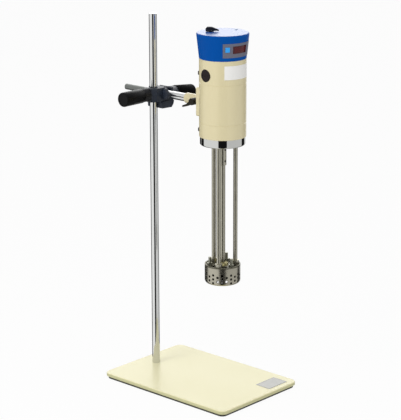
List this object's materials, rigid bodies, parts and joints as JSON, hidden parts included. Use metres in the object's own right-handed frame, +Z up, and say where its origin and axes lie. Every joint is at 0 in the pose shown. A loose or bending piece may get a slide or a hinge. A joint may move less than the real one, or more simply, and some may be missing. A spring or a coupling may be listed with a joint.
{
  "type": "rotor stator homogenizer",
  "caption": "Laboratory high-shear mixer on a bench stand: motor with control cap, arm, boss head and a rotor and stator head on rods.",
  "frame": {"origin": "middle of the base's outline, on the bench under the rubber mat", "axes": "+X along the stand's arm, from the column to the free end of the base; +Y to the back; +Z up"},
  "size_m": [0.392, 0.23, 0.75],
  "materials": {
    "base_paint": "satin",
    "mat_rubber": "matte",
    "plate_silver": "satin",
    "polished_steel": "polished",
    "dark_steel": "satin",
    "casting_dark": "satin",
    "knob_black": "gloss",
    "cream_paint": "satin",
    "label_white": "satin",
    "chrome_ring": "polished",
    "brush_plastic": "satin",
    "brass_parts": "satin",
    "carbon": "matte",
    "motor_iron": "matte",
    "copper_wire": "gloss",
    "fan_plastic": "satin",
    "bearing_steel": "polished",
    "cap_blue": "gloss",
    "panel_grey": "satin",
    "display_red": "gloss",
    "electronics": "matte",
    "key_blue": "satin",
    "board_green": "satin",
    "stainless": "satin"
  },
  "bodies": {
    "base": {"base_plate": "base_paint", "base_mat": "mat_rubber", "base_label": "plate_silver", "column_bolt": "dark_steel"},
    "column": {"column": "polished_steel"},
    "boss": {"boss_head": "casting_dark"},
    "column_clamp_screw": {"column_screw": "dark_steel"},
    "column_clamp_knob": {"column_knob": "knob_black"},
    "arm_clamp_screw": {"arm_screw": "dark_steel"},
    "arm_clamp_knob": {"arm_knob": "knob_black"},
    "arm": {"support_arm": "polished_steel"},
    "mixer": {"bracket": "cream_paint", "bracket_screws": "dark_steel", "lower_cover": "cream_paint", "field_housing": "cream_paint", "upper_cover": "cream_paint", "cover_screws": "dark_steel", "body_label": "label_white", "end_flange": "chrome_ring", "flange_screws": "dark_steel", "brush_caps": "brush_plastic", "brush_holders": "brass_parts", "carbon_brushes": "carbon", "brush_springs": "brass_parts", "field_core": "motor_iron", "field_windings": "copper_wire", "upper_bearing": "bearing_steel", "lower_bearing": "bearing_steel", "control_cap": "cap_blue", "cap_screws": "dark_steel", "top_plug": "dark_steel", "cord_inlet": "brush_plastic", "control_panel": "panel_grey", "display_window": "display_red", "display_module": "electronics", "key_switch": "electronics", "potentiometer": "electronics", "circuit_board": "board_green", "support_rods": "stainless", "rod_screws": "dark_steel", "head_plate": "stainless", "head_studs": "stainless", "stud_nuts": "stainless", "shaft_bush": "brass_parts", "stator_cage": "stainless"},
    "lever": {"clamp_lever": "knob_black", "lever_screw": "dark_steel"},
    "dial": {"speed_knob": "knob_black"},
    "key": {"power_key": "key_blue"},
    "rotor_train": {"armature_core": "motor_iron", "armature_windings": "copper_wire", "commutator": "copper_wire", "motor_shaft": "stainless", "cooling_fan": "fan_plastic", "coupling": "stainless", "coupling_screws": "dark_steel", "drive_shaft": "stainless", "rotor": "stainless", "rotor_nut": "dark_steel"}
  },
  "joints": [
    {"name": "column_swing", "type": "hinge", "parent": "base", "child": "column", "pos_m": [-0.125, 0, 0.0125], "axis": [0, 0, 1], "range_deg": [-45, 30]},
    {"name": "boss_height", "type": "slide", "parent": "column", "child": "boss", "axis": [0, 0, 1], "range_m": [-0.19, 0.13]},
    {"name": "column_screw_travel", "type": "slide", "parent": "boss", "child": "column_clamp_screw", "axis": [0, -1, 0], "range_m": [0, 0.0025]},
    {"name": "column_knob_turn", "type": "hinge", "parent": "column_clamp_screw", "child": "column_clamp_knob", "pos_m": [-0.125, -0.06, 0.5875], "axis": [0, -1, 0], "range_deg": [0, 721]},
    {"name": "arm_screw_travel", "type": "slide", "parent": "boss", "child": "arm_clamp_screw", "axis": [0, 0.9945, -0.1045], "range_m": [0, 0.0025]},
    {"name": "arm_knob_turn", "type": "hinge", "parent": "arm_clamp_screw", "child": "arm_clamp_knob", "pos_m": [-0.125, 0.025, 0.584], "axis": [0, 0.9945, -0.1045], "range_deg": [0, 721]},
    {"name": "arm_reach", "type": "slide", "parent": "boss", "child": "arm", "axis": [1, 0, 0], "range_m": [0, 0.075]},
    {"name": "mixer_tilt", "type": "hinge", "parent": "arm", "child": "mixer", "pos_m": [-0.03, 0.025, 0.584], "axis": [1, 0, 0], "range_deg": [-30, 30]},
    {"name": "lever_turn", "type": "hinge", "parent": "mixer", "child": "lever", "pos_m": [-0.023, 0.025, 0.584], "axis": [0, -1, 0], "range_deg": [0, 60]},
    {"name": "dial_turn", "type": "hinge", "parent": "mixer", "child": "dial", "pos_m": [0.01544, 0.01401, 0.73], "axis": [0, 0, 1], "range_deg": [-135, 135]},
    {"name": "key_press", "type": "slide", "parent": "mixer", "child": "key", "axis": [-0.7934, 0.6088, 0], "range_m": [0, 0.001], "stiffness_N_per_m": 400, "springref_m": -0.001},
    {"name": "rotor_spin", "type": "hinge", "parent": "mixer", "child": "rotor_train", "pos_m": [0.039, 0.025, 0.5], "axis": [0, 0, 1], "continuous": true}
  ],
  "couplings": [
    {"joint": "column_knob_turn", "follows": "column_screw_travel", "rad_per_m": 5026.5},
    {"joint": "arm_knob_turn", "follows": "arm_screw_travel", "rad_per_m": 5026.5}
  ]
}
